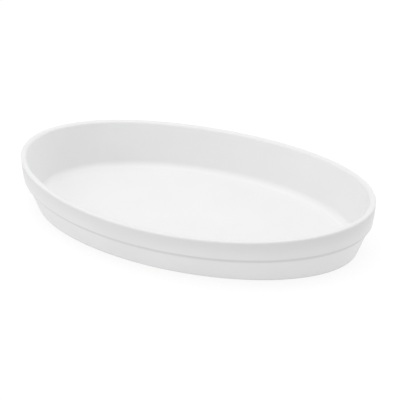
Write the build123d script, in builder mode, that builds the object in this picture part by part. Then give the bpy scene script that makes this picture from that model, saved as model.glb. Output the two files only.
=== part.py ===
from build123d import *
import os

os.makedirs("parts", exist_ok=True)

# Gratin dish: an oval baking dish, cast in one piece of ceramic and glazed white.
# It stands on the table at Z = 0 with its middle on the origin, and its length lies along X.
# Its rim is a shallow saddle: highest at the two ends, lowest at the middle of the long sides.
# An inset is how far a line of the dish lies inside the outline of the rim, seen from above.

# Outline of the rim
length = 300.0
width = 175.0

# Heights above the table at the two ends, and how much lower the line lies at the sides
rim_height = 45.6
rim_dip = 5.0
collar_edge_height = 26.1
collar_edge_dip = 2.8

# Lip: the top of the wall. Outside, the collar leans in at a bevel and then rounds over the top.
lip_thickness = 4.6
lip_bevel = 1.25
lip_radius = 1.9
lip_inner_bevel = 1.0

# Collar: the raised band below the lip
collar_inset = 1.6
collar_step = 1.4
collar_bevel = 0.5

# Foot: the ring that the dish stands on, round a shallow recess under the floor
foot_inset = 12.2
foot_width = 6.0
foot_bevel = 1.0
recess_depth = 1.2
recess_slope = 1.5

# Inside: where the straight wall would meet the floor, and the cove between them
floor_height = 4.8
floor_inset = 15.7
cove_radius = 7.0

# How far a cutting shape runs past what it cuts
overrun = 3.0

half_length = length / 2
half_width = width / 2
reach = half_length + overrun
bottom = -overrun
top = rim_height + overrun


def half_axis(half_span, level, low_line, high_line):
    """Half axis at a level of the flank through two lines, each an inset and a height."""
    low_inset, low_height = low_line
    high_inset, high_height = high_line
    rise = (level - low_height) / (high_height - low_height)
    return half_span - low_inset - (high_inset - low_inset) * rise


def flank_oval(level, low_line, high_line, low_dip, high_dip):
    """Both half axes of a flank at a level, where its lines dip towards the long sides."""
    low_inset, low_height = low_line
    high_inset, high_height = high_line
    low_at_sides = (low_inset, low_height - low_dip)
    high_at_sides = (high_inset, high_height - high_dip)
    return (
        half_axis(half_length, level, low_line, high_line),
        half_axis(half_width, level, low_at_sides, high_at_sides),
    )


def body_oval(level):
    """Outside of the lower body, from the foot up to the step under the collar."""
    step_line = (collar_inset + collar_step, collar_edge_height)
    return flank_oval(level, (foot_inset, 0), step_line, 0, collar_edge_dip)


def collar_oval(level):
    """Outside of the collar, from its lower edge up to where the lip rounds off."""
    edge_line = (collar_inset, collar_edge_height)
    lip_line = (0, rim_height - lip_bevel)
    return flank_oval(level, edge_line, lip_line, collar_edge_dip, rim_dip)


def inside_oval(level):
    """Inside of the wall, from the corner of the floor up to the lip."""
    floor_line = (floor_inset, floor_height)
    return flank_oval(level, floor_line, (lip_thickness, rim_height), 0, rim_dip)


def recess_oval(level):
    """Side of the recess under the floor, which leans in from the ring of the foot."""
    ring_line = (foot_inset + foot_width, 0)
    top_line = (foot_inset + foot_width + recess_slope, recess_depth)
    return flank_oval(level, ring_line, top_line, 0, 0)


def saddle_points(height_at_ends, dip):
    """Three points of the long arc that a dipping line makes, seen from the side."""
    lowest = height_at_ends - dip
    height_at_reach = lowest + dip * (reach / half_length) ** 2
    return (-reach, height_at_reach), (0, lowest), (reach, height_at_reach)


# Waste below the collar, round the lower body
with BuildPart() as lower_waste:
    with BuildSketch(Plane.XZ):
        with BuildLine():
            edge_arc = ThreePointArc(*saddle_points(collar_edge_height, collar_edge_dip))
            Polyline(edge_arc @ 0, (-reach, bottom), (reach, bottom), edge_arc @ 1)
        make_face()
    extrude(amount=half_width + overrun, both=True)
    with BuildSketch(Plane.XY.offset(bottom)):
        Ellipse(*body_oval(bottom))
    with BuildSketch(Plane.XY.offset(top)):
        Ellipse(*body_oval(top))
    loft(ruled=True, mode=Mode.SUBTRACT)

# Waste above the rim
with BuildPart() as upper_waste:
    with BuildSketch(Plane.XZ):
        with BuildLine():
            rim_arc = ThreePointArc(*saddle_points(rim_height, rim_dip))
            Polyline(rim_arc @ 0, (-reach, top + overrun), (reach, top + overrun), rim_arc @ 1)
        make_face()
    extrude(amount=half_width + overrun, both=True)

# Hollow of the dish, with the cove round its floor
with BuildPart() as hollow:
    with BuildSketch(Plane.XY.offset(floor_height)):
        Ellipse(*inside_oval(floor_height))
    with BuildSketch(Plane.XY.offset(top)):
        Ellipse(*inside_oval(top))
    loft(ruled=True)
    fillet(hollow.faces().sort_by(Axis.Z)[0].edges(), cove_radius)

# Recess under the floor, inside the ring of the foot
with BuildPart() as recess:
    with BuildSketch(Plane.XY.offset(bottom)):
        Ellipse(*recess_oval(bottom))
    with BuildSketch(Plane.XY.offset(recess_depth)):
        Ellipse(*recess_oval(recess_depth))
    loft(ruled=True)

# Dish
with BuildPart() as gratin_dish:
    # One solid oval block, then all that isn't ceramic is cut away
    with BuildSketch():
        Ellipse(*collar_oval(0))
    with BuildSketch(Plane.XY.offset(top)):
        Ellipse(*collar_oval(top))
    loft(ruled=True)
    add(upper_waste.part, mode=Mode.SUBTRACT)
    add(lower_waste.part, mode=Mode.SUBTRACT)
    add(hollow.part, mode=Mode.SUBTRACT)
    chamfer(gratin_dish.faces().sort_by(Axis.Z)[0].edges(), foot_bevel)
    add(recess.part, mode=Mode.SUBTRACT)

    # Lower edge of the collar, over the step
    saddles = gratin_dish.faces().filter_by(GeomType.CYLINDER).sort_by(Axis.Z)
    chamfer(saddles[0].outer_wire().edges(), collar_bevel)

    # Lip, outside: a bevel round the top of the collar, with its upper edge rounded
    lip = gratin_dish.faces().filter_by(GeomType.CYLINDER).sort_by(Axis.Z)[-1]
    chamfer(lip.outer_wire().edges(), lip_bevel)
    lip = gratin_dish.faces().filter_by(GeomType.CYLINDER).sort_by(Axis.Z)[-1]
    fillet(lip.outer_wire().edges(), lip_radius)

    # Lip, inside
    lip = gratin_dish.faces().filter_by(GeomType.CYLINDER).sort_by(Axis.Z)[-1]
    chamfer(lip.inner_wires()[0].edges(), lip_inner_bevel)

gratin_dish.part.label = "gratin_dish"
export_step(gratin_dish.part, "parts/gratin_dish.step")
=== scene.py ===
"""Gratin dish: an oval baking dish of white glazed stoneware, on a plain white table."""

import logging
import math
from dataclasses import dataclass, field
from enum import Enum

import bmesh
import bpy
from mathutils import Matrix, Vector

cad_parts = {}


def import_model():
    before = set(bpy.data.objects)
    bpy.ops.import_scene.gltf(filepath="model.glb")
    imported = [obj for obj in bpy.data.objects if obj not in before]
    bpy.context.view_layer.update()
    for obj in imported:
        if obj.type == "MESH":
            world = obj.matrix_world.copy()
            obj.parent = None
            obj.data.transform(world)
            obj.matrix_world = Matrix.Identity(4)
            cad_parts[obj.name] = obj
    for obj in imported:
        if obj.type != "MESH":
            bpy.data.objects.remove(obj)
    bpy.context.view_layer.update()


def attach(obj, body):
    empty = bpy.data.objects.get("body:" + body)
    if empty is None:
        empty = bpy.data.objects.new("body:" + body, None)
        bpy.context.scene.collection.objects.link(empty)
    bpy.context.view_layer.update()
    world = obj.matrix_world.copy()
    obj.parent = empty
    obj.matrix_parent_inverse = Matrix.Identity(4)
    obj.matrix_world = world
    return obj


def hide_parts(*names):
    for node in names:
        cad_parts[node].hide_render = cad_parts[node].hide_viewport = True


LOG = logging.getLogger("gratin_dish")

MM = 0.001

# Side of the picture, in pixels
PHOTO_SIDE = 400

WHITE_HEX = "FFFFFF"

# Numbers at the start and at the end of a fade
FADE_IN = (0.0, 1.0)
FADE_OUT = (1.0, 0.0)

# Sockets of a Mix node for colours: the tone underneath, the one over it, and the result
MIX_UNDER = 6
MIX_OVER = 7
MIX_RESULT = 2

# How far a point may be off a line and still lie on it, in millimetres
SAME_PLACE = 0.002

# How often a point's level and its place are worked out from each other
SETTLE_ROUNDS = 4

# A face is underfoot when it is lower than this, in millimetres, and looks down
UNDERFOOT_HEIGHT = 0.25
LOOKS_DOWN = -0.5


class Corner(Enum):
    """Corners of the dish's section, from the recess underneath round to the floor inside."""

    RECESS_TOP = "recess_top"
    FOOT_INSIDE = "foot_inside"
    FOOT_OUTSIDE = "foot_outside"
    STEP_INSIDE = "step_inside"
    COLLAR_EDGE = "collar_edge"
    COLLAR_BELLY = "collar_belly"
    LIP_OUTSIDE = "lip_outside"
    LIP_INSIDE = "lip_inside"
    FLOOR_EDGE = "floor_edge"


class Surface(Enum):
    """The two surfaces of the dish, in the order of its material slots."""

    GLAZE = 0
    BISCUIT = 1


def linear_channel(value: float) -> float:
    """Turn one sRGB channel into a linear one.

    Args:
        value: The channel, from 0 to 1.

    Returns:
        The linear value, from 0 to 1.
    """
    if value <= 0.04045:
        return value / 12.92
    return ((value + 0.055) / 1.055) ** 2.4


def linear_colour(hex_code: str) -> tuple[float, float, float, float]:
    """Turn an sRGB hex colour into a linear one with full alpha.

    Args:
        hex_code: Six hex digits.

    Returns:
        Red, green, blue and alpha.
    """
    channels = [int(hex_code[at:at + 2], 16) / 255 for at in (0, 2, 4)]
    red, green, blue = (linear_channel(channel) for channel in channels)
    return red, green, blue, 1.0


def add_node(
    tree: bpy.types.NodeTree,
    kind: str,
    settings: dict[str, object] | None = None,
    links: dict[str, bpy.types.NodeSocket] | None = None,
    **values: object,
) -> bpy.types.Node:
    """Add a node with its settings, socket values and links.

    Args:
        tree: The node tree that gets the node.
        kind: The node's type name.
        settings: Properties of the node itself.
        links: Sockets that feed the node's inputs, by the input's name.
        **values: Input values, by the input's name with underscores for spaces.

    Returns:
        The new node.
    """
    node = tree.nodes.new(kind)
    for name, value in (settings or {}).items():
        setattr(node, name, value)
    for name, value in values.items():
        node.inputs[name.replace("_", " ")].default_value = value
    for name, source in (links or {}).items():
        tree.links.new(source, node.inputs[name])
    return node


def combine(
    tree: bpy.types.NodeTree, operation: str, *terms: bpy.types.NodeSocket | float
) -> bpy.types.NodeSocket:
    """Work out one value from sockets and plain numbers.

    Args:
        tree: The node tree that gets the node.
        operation: What is done, in the Math node's own words.
        *terms: What it is done to, in order.

    Returns:
        The value.
    """
    node = add_node(tree, "ShaderNodeMath", {"operation": operation})
    for socket, term in zip(node.inputs, terms):
        if isinstance(term, bpy.types.NodeSocket):
            tree.links.new(term, socket)
        else:
            socket.default_value = term
    return node.outputs["Value"]


def fade(
    tree: bpy.types.NodeTree,
    value: bpy.types.NodeSocket,
    reach: tuple[float, float],
    ends: tuple[float, float] = FADE_IN,
    shape: str = "LINEAR",
) -> bpy.types.NodeSocket:
    """Go from one number to another while a value crosses a range.

    Args:
        tree: The node tree that gets the node.
        value: The value.
        reach: Where the range starts and ends.
        ends: The numbers at its start and at its end.
        shape: How it goes between them, in the Map Range node's own words.

    Returns:
        The number.
    """
    node = add_node(
        tree, "ShaderNodeMapRange", {"interpolation_type": shape}, {"Value": value},
        From_Min=reach[0], From_Max=reach[1], To_Min=ends[0], To_Max=ends[1],
    )
    return node.outputs["Result"]


def add_noise(
    tree: bpy.types.NodeTree,
    place: bpy.types.NodeSocket,
    size: float,
    detail: float,
    roughness: float = 0.5,
) -> bpy.types.NodeSocket:
    """Add noise of a real size.

    Args:
        tree: The node tree that gets the node.
        place: The coordinates.
        size: The size of its patches, in millimetres.
        detail: How many finer layers it has.
        roughness: How strong the finer layers are.

    Returns:
        The noise.
    """
    node = add_node(
        tree, "ShaderNodeTexNoise", links={"Vector": place},
        Scale=1 / (size * MM), Detail=detail, Roughness=roughness,
    )
    return node.outputs["Fac"]


def new_material(name: str) -> bpy.types.Material:
    """Make a material with an empty node tree."""
    material = bpy.data.materials.new(name)
    material.use_nodes = True
    material.node_tree.nodes.clear()
    return material


@dataclass(frozen=True)
class WhiteGlaze:
    """Opaque white satin glaze, sprayed on stoneware and fired.

    It looks soft and even. Its colour carries painted shade: darker over the whole outside,
    darker still right under the lip down the collar, and dimmer over the lip. A painted
    shadow lies in a grey line under the collar, and painted shade darkens it just above the
    foot. Up close it has the faint orange peel of a sprayed glaze, slow waves where it ran
    together, and a very rare iron speck.

    Sizes are in mm. A line is its height at the long sides, and how much higher it is at the
    two ends. A reach is where a tone starts and stops changing, as heights above a line.

    Attributes:
        body_hex: The glaze's own colour, which the inside has.
        cloud_hex: The slow clouds in the coat.
        painted_outside_shade_hex: Painted shade over the whole outside, darker than the
            inside.
        painted_collar_shade_hex: Painted shade outside, right under the lip.
        painted_lip_shade_hex: Painted shade over the lip, which dims its highlight.
        painted_shadow_hex: The painted shadow under the collar, and the painted shade just
            above the foot.
        speck_hex: An iron speck.
        half_length: Half the length of the dish.
        rim: The line of the rim.
        painted_lip_shade_reach: Where the painted shade on the lip fades in.
        painted_collar_shade_reach: Where the painted shade under the lip fades in, up the
            collar.
        collar_edge: The line of the collar's lower edge.
        shadow_below: Where the painted shadow fades in, under the collar's edge.
        shadow_above: Where it fades out, over the collar's edge.
        foot: The line of the foot.
        base_shade_reach: Where the painted shade just above the foot fades out.
        wall_middle: The oval in the middle of the wall, as the half axis at the table and
            its growth with the height, along the dish and across it.
        roughness: The roughness at both ends of the cloud noise.
        ior: The refractive index of the glaze.
        coat_weight: The share of the smooth skin on it.
        coat_roughness: The roughness of that skin.
        cloud_size: The size of the clouds.
        cloud_reach: The part of the cloud noise over which they fade in.
        cloud_share: How much of their tone they have at most.
        gloss_reach: The part of the cloud noise over which the roughness changes.
        wave_size: The size of the slow waves.
        wave_depth: Their depth.
        peel_size: The size of the orange peel.
        peel_depth: Its depth.
        speck_spacing: The distance between specks.
        speck_radius: Their radius.
        speck_core: The share of the radius that has the full tone.
        speck_share: How much of their tone they have at most.
    """

    body_hex: str = "E9E9E9"
    cloud_hex: str = "E5E5E5"
    painted_outside_shade_hex: str = "DEDEDE"
    painted_collar_shade_hex: str = "D9D9D9"
    painted_lip_shade_hex: str = "E4E4E4"
    painted_shadow_hex: str = "CFCFCF"
    speck_hex: str = "8E8A84"
    half_length: float = 150.0
    rim: tuple[float, float] = (40.6, 5.0)
    painted_lip_shade_reach: tuple[float, float] = (-2.4, -0.4)
    painted_collar_shade_reach: tuple[float, float] = (-16.0, -2.0)
    collar_edge: tuple[float, float] = (23.3, 2.8)
    shadow_below: tuple[float, float] = (-4.0, -2.0)
    shadow_above: tuple[float, float] = (0.3, 1.3)
    foot: tuple[float, float] = (0.0, 0.0)
    base_shade_reach: tuple[float, float] = (0.5, 1.9)
    wall_middle: tuple[tuple[float, float], ...] = ((135.6, 0.266), (73.0, 0.301))
    roughness: tuple[float, float] = (0.48, 0.56)
    ior: float = 1.5
    coat_weight: float = 0.1
    coat_roughness: float = 0.25
    cloud_size: float = 45.0
    cloud_reach: tuple[float, float] = (0.35, 0.65)
    cloud_share: float = 0.45
    gloss_reach: tuple[float, float] = (0.3, 0.7)
    wave_size: float = 22.0
    wave_depth: float = 0.05
    peel_size: float = 2.2
    peel_depth: float = 0.004
    speck_spacing: float = 48.0
    speck_radius: float = 0.45
    speck_core: float = 0.6
    speck_share: float = 0.7

    def band(
        self,
        tree: bpy.types.NodeTree,
        place: list[bpy.types.NodeSocket],
        line: tuple[float, float],
        reach: tuple[float, float],
        ends: tuple[float, float] = FADE_IN,
    ) -> bpy.types.NodeSocket:
        """Fade between two numbers across a line that dips towards the long sides.

        Args:
            tree: The material's node tree.
            place: The place along the dish, across it and above the table.
            line: The line.
            reach: The reach of the fade.
            ends: The numbers at its start and at its end.

        Returns:
            The faded number.
        """
        along, _, height = place
        at_sides, rise = line
        share = combine(tree, "DIVIDE", along, self.half_length * MM)
        bow = combine(tree, "MULTIPLY", share, share)
        level = combine(tree, "MULTIPLY_ADD", bow, rise * MM, at_sides * MM)
        above = combine(tree, "SUBTRACT", height, level)
        return fade(tree, above, (reach[0] * MM, reach[1] * MM), ends, "SMOOTHSTEP")

    def outside(
        self, tree: bpy.types.NodeTree, place: list[bpy.types.NodeSocket]
    ) -> bpy.types.NodeSocket:
        """Tell the outside of the wall from the inside, by the oval in the middle of it.

        Args:
            tree: The material's node tree.
            place: The place along the dish, across it and above the table.

        Returns:
            1 on the outside and 0 on the inside.
        """
        height = place[2]
        squares = []
        for offset, (at_table, growth) in zip(place, self.wall_middle):
            half_axis = combine(tree, "MULTIPLY_ADD", height, growth, at_table * MM)
            share = combine(tree, "DIVIDE", offset, half_axis)
            squares.append(combine(tree, "MULTIPLY", share, share))
        return combine(tree, "GREATER_THAN", combine(tree, "ADD", *squares), 1.0)

    def colour(
        self,
        tree: bpy.types.NodeTree,
        place: list[bpy.types.NodeSocket],
        clouds: bpy.types.NodeSocket,
        specks: bpy.types.NodeSocket,
    ) -> bpy.types.NodeSocket:
        """Lay the tones over each other: the glaze's colour, painted shade and shadow, then
        specks.

        Args:
            tree: The material's node tree.
            place: The place along the dish, across it and above the table.
            clouds: The cloud noise.
            specks: The distance from the nearest speck, as a share of their spacing.

        Returns:
            The glaze's colour.
        """
        outside = self.outside(tree, place)
        # painted shade: the outside darkens towards the lip, up the collar
        collar_shade = self.band(tree, place, self.rim, self.painted_collar_shade_reach)
        # painted shadow: a grey line under the collar's lower edge
        collar_shadow = combine(
            tree, "MULTIPLY",
            self.band(tree, place, self.collar_edge, self.shadow_below),
            self.band(tree, place, self.collar_edge, self.shadow_above, FADE_OUT),
        )
        # painted shade: the outside darkens just above the foot
        wiped = self.band(tree, place, self.foot, self.base_shade_reach, FADE_OUT)
        speck_edge = self.speck_radius / self.speck_spacing
        speck_reach = self.speck_core * speck_edge, speck_edge
        coats = (
            # painted shade: the whole outside darker than the inside
            (outside, self.painted_outside_shade_hex),
            (fade(tree, clouds, self.cloud_reach, (0.0, self.cloud_share)), self.cloud_hex),
            # painted shade right under the lip, outside
            (combine(tree, "MULTIPLY", collar_shade, outside), self.painted_collar_shade_hex),
            # painted shade over the lip, dimming its highlight
            (self.band(tree, place, self.rim, self.painted_lip_shade_reach), self.painted_lip_shade_hex),
            # painted shadow under the collar
            (combine(tree, "MULTIPLY", collar_shadow, outside), self.painted_shadow_hex),
            # painted shade just above the foot
            (combine(tree, "MULTIPLY", wiped, outside), self.painted_shadow_hex),
            (fade(tree, specks, speck_reach, (self.speck_share, 0.0)), self.speck_hex),
        )
        under = None
        for share, hex_code in coats:
            coat = add_node(tree, "ShaderNodeMix", {"data_type": "RGBA"}, {"Factor": share})
            coat.inputs[MIX_UNDER].default_value = linear_colour(self.body_hex)
            coat.inputs[MIX_OVER].default_value = linear_colour(hex_code)
            if under is not None:
                tree.links.new(under, coat.inputs[MIX_UNDER])
            under = coat.outputs[MIX_RESULT]
        return under

    def build(self) -> bpy.types.Material:
        """Make the glaze's material.

        Returns:
            The material.
        """
        material = new_material("white_satin_glaze")
        tree = material.node_tree
        point = add_node(tree, "ShaderNodeTexCoord").outputs["Object"]
        place = list(add_node(tree, "ShaderNodeSeparateXYZ", links={"Vector": point}).outputs)
        clouds = add_noise(tree, point, self.cloud_size, detail=3.0)
        cells = add_node(
            tree, "ShaderNodeTexVoronoi", links={"Vector": point},
            Scale=1 / (self.speck_spacing * MM),
        )
        waves = add_node(
            tree, "ShaderNodeBump",
            links={"Height": add_noise(tree, point, self.wave_size, detail=1.0)},
            Strength=1.0, Distance=self.wave_depth * MM,
        )
        peel = add_node(
            tree, "ShaderNodeBump",
            links={
                "Height": add_noise(tree, point, self.peel_size, detail=1.0),
                "Normal": waves.outputs["Normal"],
            },
            Strength=1.0, Distance=self.peel_depth * MM,
        )
        shader = add_node(
            tree, "ShaderNodeBsdfPrincipled",
            links={
                "Base Color": self.colour(tree, place, clouds, cells.outputs["Distance"]),
                "Roughness": fade(tree, clouds, self.gloss_reach, self.roughness),
                "Normal": peel.outputs["Normal"],
            },
            IOR=self.ior, Coat_Weight=self.coat_weight, Coat_Roughness=self.coat_roughness,
        )
        add_node(tree, "ShaderNodeOutputMaterial", links={"Surface": shader.outputs["BSDF"]})
        return material


@dataclass(frozen=True)
class BareBiscuit:
    """Bare stoneware where the glaze is wiped off before firing, so that it won't stick.

    It is a warm grey, dry and matt, with a fine sandy grain. Sizes are in mm.

    Attributes:
        body_hex: The clay.
        grain_hex: The darker grains in it.
        roughness: The roughness of the clay.
        ior: Its refractive index.
        grain_size: The size of the grains.
        grain_reach: The part of the grain noise over which the darker tone fades in.
        grain_depth: The depth of the grain.
        grain_strength: How much of that depth shows.
    """

    body_hex: str = "D9D3C8"
    grain_hex: str = "C2BAAC"
    roughness: float = 0.9
    ior: float = 1.45
    grain_size: float = 0.7
    grain_reach: tuple[float, float] = (0.4, 0.75)
    grain_depth: float = 0.03
    grain_strength: float = 0.6

    def build(self) -> bpy.types.Material:
        """Make the bare stoneware's material.

        Returns:
            The material.
        """
        material = new_material("bare_stoneware")
        tree = material.node_tree
        point = add_node(tree, "ShaderNodeTexCoord").outputs["Object"]
        grain = add_noise(tree, point, self.grain_size, detail=3.0, roughness=0.6)
        colour = add_node(
            tree, "ShaderNodeMix", {"data_type": "RGBA"},
            {"Factor": fade(tree, grain, self.grain_reach)},
        )
        colour.inputs[MIX_UNDER].default_value = linear_colour(self.body_hex)
        colour.inputs[MIX_OVER].default_value = linear_colour(self.grain_hex)
        bump = add_node(
            tree, "ShaderNodeBump", links={"Height": grain},
            Strength=self.grain_strength, Distance=self.grain_depth * MM,
        )
        shader = add_node(
            tree, "ShaderNodeBsdfPrincipled",
            links={
                "Base Color": colour.outputs[MIX_RESULT],
                "Normal": bump.outputs["Normal"],
            },
            Roughness=self.roughness, IOR=self.ior,
        )
        add_node(tree, "ShaderNodeOutputMaterial", links={"Surface": shader.outputs["BSDF"]})
        return material


@dataclass(frozen=True)
class Line:
    """A line round the dish: how far it lies inside the rim's outline, and how high.

    Attributes:
        inset: Distance inside the outline of the rim, in millimetres.
        height: Height above the table at the two ends, in millimetres.
        dip: How much lower the line lies at the long sides, in millimetres.
    """

    inset: float
    height: float
    dip: float = 0.0

    def level(self, share: float) -> float:
        """Height of the line at a share of the dish's half length from its middle."""
        return self.height - self.dip * (1 - share * share)


@dataclass
class OvalDish:
    """The dish: foot, tapering body, collar, lip and hollow, in one skin. Sizes are in mm.

    Attributes:
        half_length: Half the length of the rim's outline.
        half_width: Half its width.
        foot_low: Outer edge of the foot ring.
        foot_ring: Inner edge of the foot ring.
        recess_top: Edge of the recess under the floor.
        step: Top of the lower body, under the collar.
        collar_low: Lower edge of the collar.
        collar_belly: Middle of the collar, where it bulges a little.
        collar_high: Where the collar would meet the bevel of the lip.
        rim: Inner edge of the lip, at the height of the rim.
        floor_line: Where the wall would meet the floor inside.
        segments: How many points each ring has.
        rounds: The radius of each corner and how many steps it is rounded in.
    """

    half_length: float = 150.0
    half_width: float = 87.5
    foot_low: Line = Line(12.2, 0.0)
    foot_ring: Line = Line(18.2, 0.0)
    recess_top: Line = Line(19.7, 1.2)
    step: Line = Line(3.0, 26.1, 2.8)
    collar_low: Line = Line(1.6, 26.1, 2.8)
    collar_belly: Line = Line(0.45, 35.2, 3.9)
    collar_high: Line = Line(0.0, 44.35, 5.0)
    rim: Line = Line(4.6, 45.55, 5.0)
    floor_line: Line = Line(15.7, 4.8)
    segments: int = 384
    rounds: dict[Corner, tuple[float, int]] = field(
        default_factory=lambda: {
            Corner.RECESS_TOP: (0.6, 3),
            Corner.FOOT_INSIDE: (0.8, 4),
            Corner.FOOT_OUTSIDE: (1.2, 6),
            Corner.STEP_INSIDE: (0.35, 3),
            Corner.COLLAR_EDGE: (0.7, 5),
            Corner.COLLAR_BELLY: (160.0, 8),
            Corner.LIP_OUTSIDE: (1.35, 10),
            Corner.LIP_INSIDE: (2.5, 12),
            Corner.FLOOR_EDGE: (7.0, 16),
        }
    )

    def __post_init__(self) -> None:
        """Name the two lines that lead up to each corner, and the corner's own height."""
        self.corners: dict[Corner, tuple[Line, Line, Line]] = {
            Corner.RECESS_TOP: (self.foot_ring, self.recess_top, self.recess_top),
            Corner.FOOT_INSIDE: (self.foot_ring, self.recess_top, self.foot_ring),
            Corner.FOOT_OUTSIDE: (self.foot_low, self.step, self.foot_low),
            Corner.STEP_INSIDE: (self.foot_low, self.step, self.step),
            Corner.COLLAR_EDGE: (self.collar_low, self.collar_belly, self.collar_low),
            Corner.COLLAR_BELLY: (self.collar_low, self.collar_belly, self.collar_belly),
            Corner.LIP_OUTSIDE: (self.collar_belly, self.collar_high, self.rim),
            Corner.LIP_INSIDE: (self.floor_line, self.rim, self.rim),
            Corner.FLOOR_EDGE: (self.floor_line, self.rim, self.floor_line),
        }

    def half_axes(self, low: Line, high: Line, level: float) -> tuple[float, float]:
        """Half axes of the flank through two lines, at one level.

        Args:
            low: The flank's lower line.
            high: The flank's upper line.
            level: Height above the table, in millimetres.

        Returns:
            The half axis along the length and the one across it, in millimetres.
        """
        axes = []
        for half_span, dips in ((self.half_length, 0), (self.half_width, 1)):
            low_height = low.height - low.dip * dips
            high_height = high.height - high.dip * dips
            rise = (level - low_height) / (high_height - low_height)
            axes.append(half_span - low.inset - (high.inset - low.inset) * rise)
        return axes[0], axes[1]

    def point(self, corner: Corner, angle: float) -> Vector:
        """Where a corner lies at one angle round the oval.

        Args:
            corner: The corner.
            angle: The oval's own angle, in radians from the right-hand end.

        Returns:
            The point, in metres.
        """
        low, high, line = self.corners[corner]
        level = line.height
        for _ in range(SETTLE_ROUNDS):
            along = self.half_axes(low, high, level)[0]
            level = line.level(along * math.cos(angle) / self.half_length)
        along, across = self.half_axes(low, high, level)
        return Vector((along * math.cos(angle), across * math.sin(angle), level)) * MM

    def round_width(self, corner: Corner) -> float:
        """How far a corner's rounding reaches along the faces that meet in it.

        Args:
            corner: The corner.

        Returns:
            The reach, in metres.
        """
        order = list(Corner)
        at = order.index(corner)
        here = self.point(corner, 0.0)
        before, after = (
            self.point(order[beside], 0.0)
            if 0 <= beside < len(order)
            else Vector((0, 0, here.z))
            for beside in (at - 1, at + 1)
        )
        turn = (here - before).angle(after - here)
        return self.rounds[corner][0] * MM * math.tan(turn / 2)

    def settle_ring(self, corner: Corner) -> None:
        """Put the selected ring on its corner's line, which dips towards the long sides."""
        mesh = bmesh.from_edit_mesh(bpy.context.object.data)
        flat = self.point(corner, 0.0).x, self.point(corner, math.pi / 2).y
        for vertex in (v for v in mesh.verts if v.select):
            angle = math.atan2(vertex.co.y / flat[1], vertex.co.x / flat[0])
            vertex.co = self.point(corner, angle)
        bmesh.update_edit_mesh(bpy.context.object.data)

    def on_line(self, corner: Corner, place: Vector) -> bool:
        """Tell whether a place is on a corner's line.

        Args:
            corner: The corner.
            place: The place, in metres.

        Returns:
            True if the line goes through the place.
        """
        low, high, line = self.corners[corner]
        x, y, z = place / MM
        level = line.level(x / self.half_length)
        along, across = self.half_axes(low, high, level)
        off_oval = abs(math.hypot(x / along, y / across) - 1) * across
        return abs(z - level) < SAME_PLACE and off_oval < SAME_PLACE

    def select_ring(self, corner: Corner) -> None:
        """Select the edges that lie on a corner's line, and nothing else."""
        mesh = bmesh.from_edit_mesh(bpy.context.object.data)
        bpy.ops.mesh.select_all(action="DESELECT")
        on_line = {vertex for vertex in mesh.verts if self.on_line(corner, vertex.co)}
        for edge in mesh.edges:
            edge.select = on_line.issuperset(edge.verts)
        bmesh.update_edit_mesh(bpy.context.object.data)

    def draw_section(self) -> bpy.types.Object:
        """Raise the dish ring by ring, from the recess underneath to the floor inside.

        Returns:
            The dish, with sharp corners.
        """
        corners = list(Corner)
        bpy.ops.mesh.primitive_circle_add(
            vertices=self.segments, radius=1.0, fill_type="NGON", location=(0, 0, 0)
        )
        dish = bpy.context.object
        dish.name = dish.data.name = "dish"
        bpy.ops.object.mode_set(mode="EDIT")
        bpy.ops.mesh.select_mode(type="EDGE")
        bpy.ops.mesh.select_all(action="SELECT")
        size = (1.0, 1.0)
        for corner in corners:
            if corner is not corners[0]:
                bpy.ops.mesh.extrude_edges_move()
            wanted = self.point(corner, 0.0).x, self.point(corner, math.pi / 2).y
            bpy.ops.transform.resize(value=(wanted[0] / size[0], wanted[1] / size[1], 1))
            self.settle_ring(corner)
            size = wanted
        bpy.ops.mesh.edge_face_add()
        bpy.ops.mesh.select_all(action="SELECT")
        bpy.ops.mesh.normals_make_consistent(inside=False)
        bpy.ops.object.mode_set(mode="OBJECT")
        return dish

    def round_corners(self) -> None:
        """Round each corner of the dish, which is the active object, to its own radius."""
        bpy.ops.object.mode_set(mode="EDIT")
        bpy.ops.mesh.select_mode(type="EDGE")
        for corner, (_, steps) in self.rounds.items():
            self.select_ring(corner)
            bpy.ops.mesh.bevel(
                offset_type="OFFSET", offset=self.round_width(corner), segments=steps,
                profile=0.5, affect="EDGES", clamp_overlap=False, loop_slide=True,
            )
        bpy.ops.object.mode_set(mode="OBJECT")

    def dress(self, dish: bpy.types.Object) -> None:
        """Glaze the dish, and leave the foot ring bare where it stands on the table.

        Args:
            dish: The dish, with its corners rounded.
        """
        dish.data.materials.append(WhiteGlaze().build())
        dish.data.materials.append(BareBiscuit().build())
        for face in dish.data.polygons:
            low = face.center.z < UNDERFOOT_HEIGHT * MM
            underfoot = low and face.normal.z < LOOKS_DOWN
            face.material_index = (Surface.BISCUIT if underfoot else Surface.GLAZE).value

    def build(self) -> bpy.types.Object:
        """Model the dish and dress it.

        Returns:
            The finished dish.
        """
        bpy.ops.object.select_all(action="DESELECT")
        dish = self.draw_section()
        self.round_corners()
        bpy.ops.object.shade_smooth()
        weigh = dish.modifiers.new("face_weights", "WEIGHTED_NORMAL")
        weigh.mode = "FACE_AREA"
        bpy.ops.object.modifier_apply(modifier=weigh.name)
        self.dress(dish)
        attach(dish, "root")
        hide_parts("gratin_dish")
        LOG.info("dish: %d faces", len(dish.data.polygons))
        return dish


@dataclass(frozen=True)
class Softbox:
    """A wide square light that hangs over the table and points at the dish.

    Attributes:
        name: What the light is called.
        place: Where it hangs, in metres.
        side: Its side, in metres.
        power: Its power, in watts.
    """

    name: str
    place: tuple[float, float, float]
    side: float
    power: float

    def hang(self) -> None:
        """Hang the light and aim it at the dish."""
        bpy.ops.object.light_add(type="AREA", location=self.place)
        lamp = bpy.context.object
        lamp.name = lamp.data.name = self.name
        lamp.data.size = self.side
        lamp.data.energy = self.power
        lamp.rotation_euler = (-Vector(self.place)).to_track_quat("-Z", "Y").to_euler()


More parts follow.
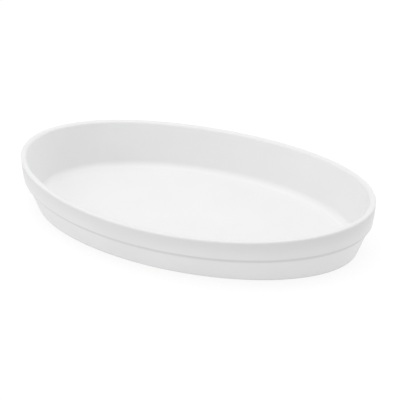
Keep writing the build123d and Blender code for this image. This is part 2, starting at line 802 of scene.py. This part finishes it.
@dataclass
class Studio:
    """A plain white table under wide soft lights, in a pale room.

    Attributes:
        table_side: The side of the table, in metres.
        table_drop: How far it lies below the foot, in millimetres.
        table_hex: The colour of its panel.
        table_roughness: The roughness of its panel.
        table_glow: How strongly it is lit from inside.
        room_level: The strength of the room's light.
        softboxes: The lights over it.
    """

    table_side: float = 8.0
    table_drop: float = 0.05
    table_hex: str = "808080"
    table_roughness: float = 0.9
    table_glow: float = 0.775
    room_level: float = 0.68
    softboxes: tuple[Softbox, ...] = (
        Softbox("overhead_softbox", (0.0, 0.0, 1.6), 1.2, 8.4),
        Softbox("left_softbox", (-0.848, 0.0, 1.357), 1.2, 2.4),
        Softbox("front_left_softbox", (-1.025, -1.025, 0.676), 1.2, 4.1),
        Softbox("back_right_softbox", (1.025, 1.025, 0.676), 1.2, 4.0),
    )

    def table_material(self) -> bpy.types.Material:
        """Make the table's material: a plain white panel, lit a little from inside."""
        material = new_material("white_light_table")
        tree = material.node_tree
        shader = add_node(
            tree, "ShaderNodeBsdfPrincipled",
            Base_Color=linear_colour(self.table_hex), Roughness=self.table_roughness,
            Emission_Color=linear_colour(WHITE_HEX), Emission_Strength=self.table_glow,
        )
        add_node(tree, "ShaderNodeOutputMaterial", links={"Surface": shader.outputs["BSDF"]})
        return material

    def add_table(self) -> None:
        """Lay the table under the dish."""
        bpy.ops.mesh.primitive_plane_add(
            size=self.table_side, location=(0, 0, -self.table_drop * MM)
        )
        table = bpy.context.object
        table.name = table.data.name = "table"
        table.data.materials.append(self.table_material())

    def light_room(self) -> None:
        """Fill the room with even pale light."""
        world = bpy.data.worlds.new("pale_room")
        world.use_nodes = True
        sky = world.node_tree.nodes["Background"]
        sky.inputs["Color"].default_value = linear_colour(WHITE_HEX)
        sky.inputs["Strength"].default_value = self.room_level
        bpy.context.scene.world = world

    def build(self) -> None:
        """Set up the table and the light."""
        self.add_table()
        for softbox in self.softboxes:
            softbox.hang()
        self.light_room()
        bpy.context.scene.view_settings.view_transform = "Standard"


@dataclass
class PhotoCamera:
    """The camera at the photograph's viewing angle.

    Attributes:
        azimuth: How far it stands round from the front, in degrees.
        elevation: How high it stands over the rim, in degrees.
        distance: Its distance from the middle of the rim, in metres.
        focal_pixels: Its focal length, in pixels of the picture.
        rim_height: The height of the middle of the rim, in metres.
        aim_right: How far right of the middle of the rim it points, in metres.
        aim_down: How far below it, in metres.
        sensor: The width of its sensor, in millimetres.
    """

    azimuth: float = 22.5
    elevation: float = 29.89
    distance: float = 1.307
    focal_pixels: float = 1623.9
    rim_height: float = 0.0431
    aim_right: float = 0.00461
    aim_down: float = 0.01941
    sensor: float = 36.0

    def build(self) -> None:
        """Make the camera and aim it."""
        azimuth = math.radians(self.azimuth)
        elevation = math.radians(self.elevation)
        back = Vector((
            math.sin(azimuth) * math.cos(elevation),
            -math.cos(azimuth) * math.cos(elevation),
            math.sin(elevation),
        ))
        right = Vector((math.cos(azimuth), math.sin(azimuth), 0.0))
        up = back.cross(right)
        middle = Vector((0, 0, self.rim_height))
        aim = middle + right * self.aim_right - up * self.aim_down
        place = middle + back * self.distance
        away = (place - aim).normalized()
        side = Vector((0, 0, 1)).cross(away).normalized()
        rise = away.cross(side)
        bpy.ops.object.camera_add(location=place)
        camera = bpy.context.object
        camera.name = "photo_camera"
        camera.rotation_euler = Matrix((side, rise, away)).transposed().to_euler()
        camera.data.sensor_width = self.sensor
        camera.data.lens = self.focal_pixels * self.sensor / PHOTO_SIDE
        bpy.context.scene.camera = camera


def main() -> None:
    """Load the frame, then build the dish, the studio and the camera."""
    logging.basicConfig(level=logging.INFO, format="%(message)s")
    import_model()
    dish = OvalDish().build()
    LOG.info("built %s", dish.name)
    Studio().build()
    PhotoCamera().build()


if __name__ == "__main__":
    main()
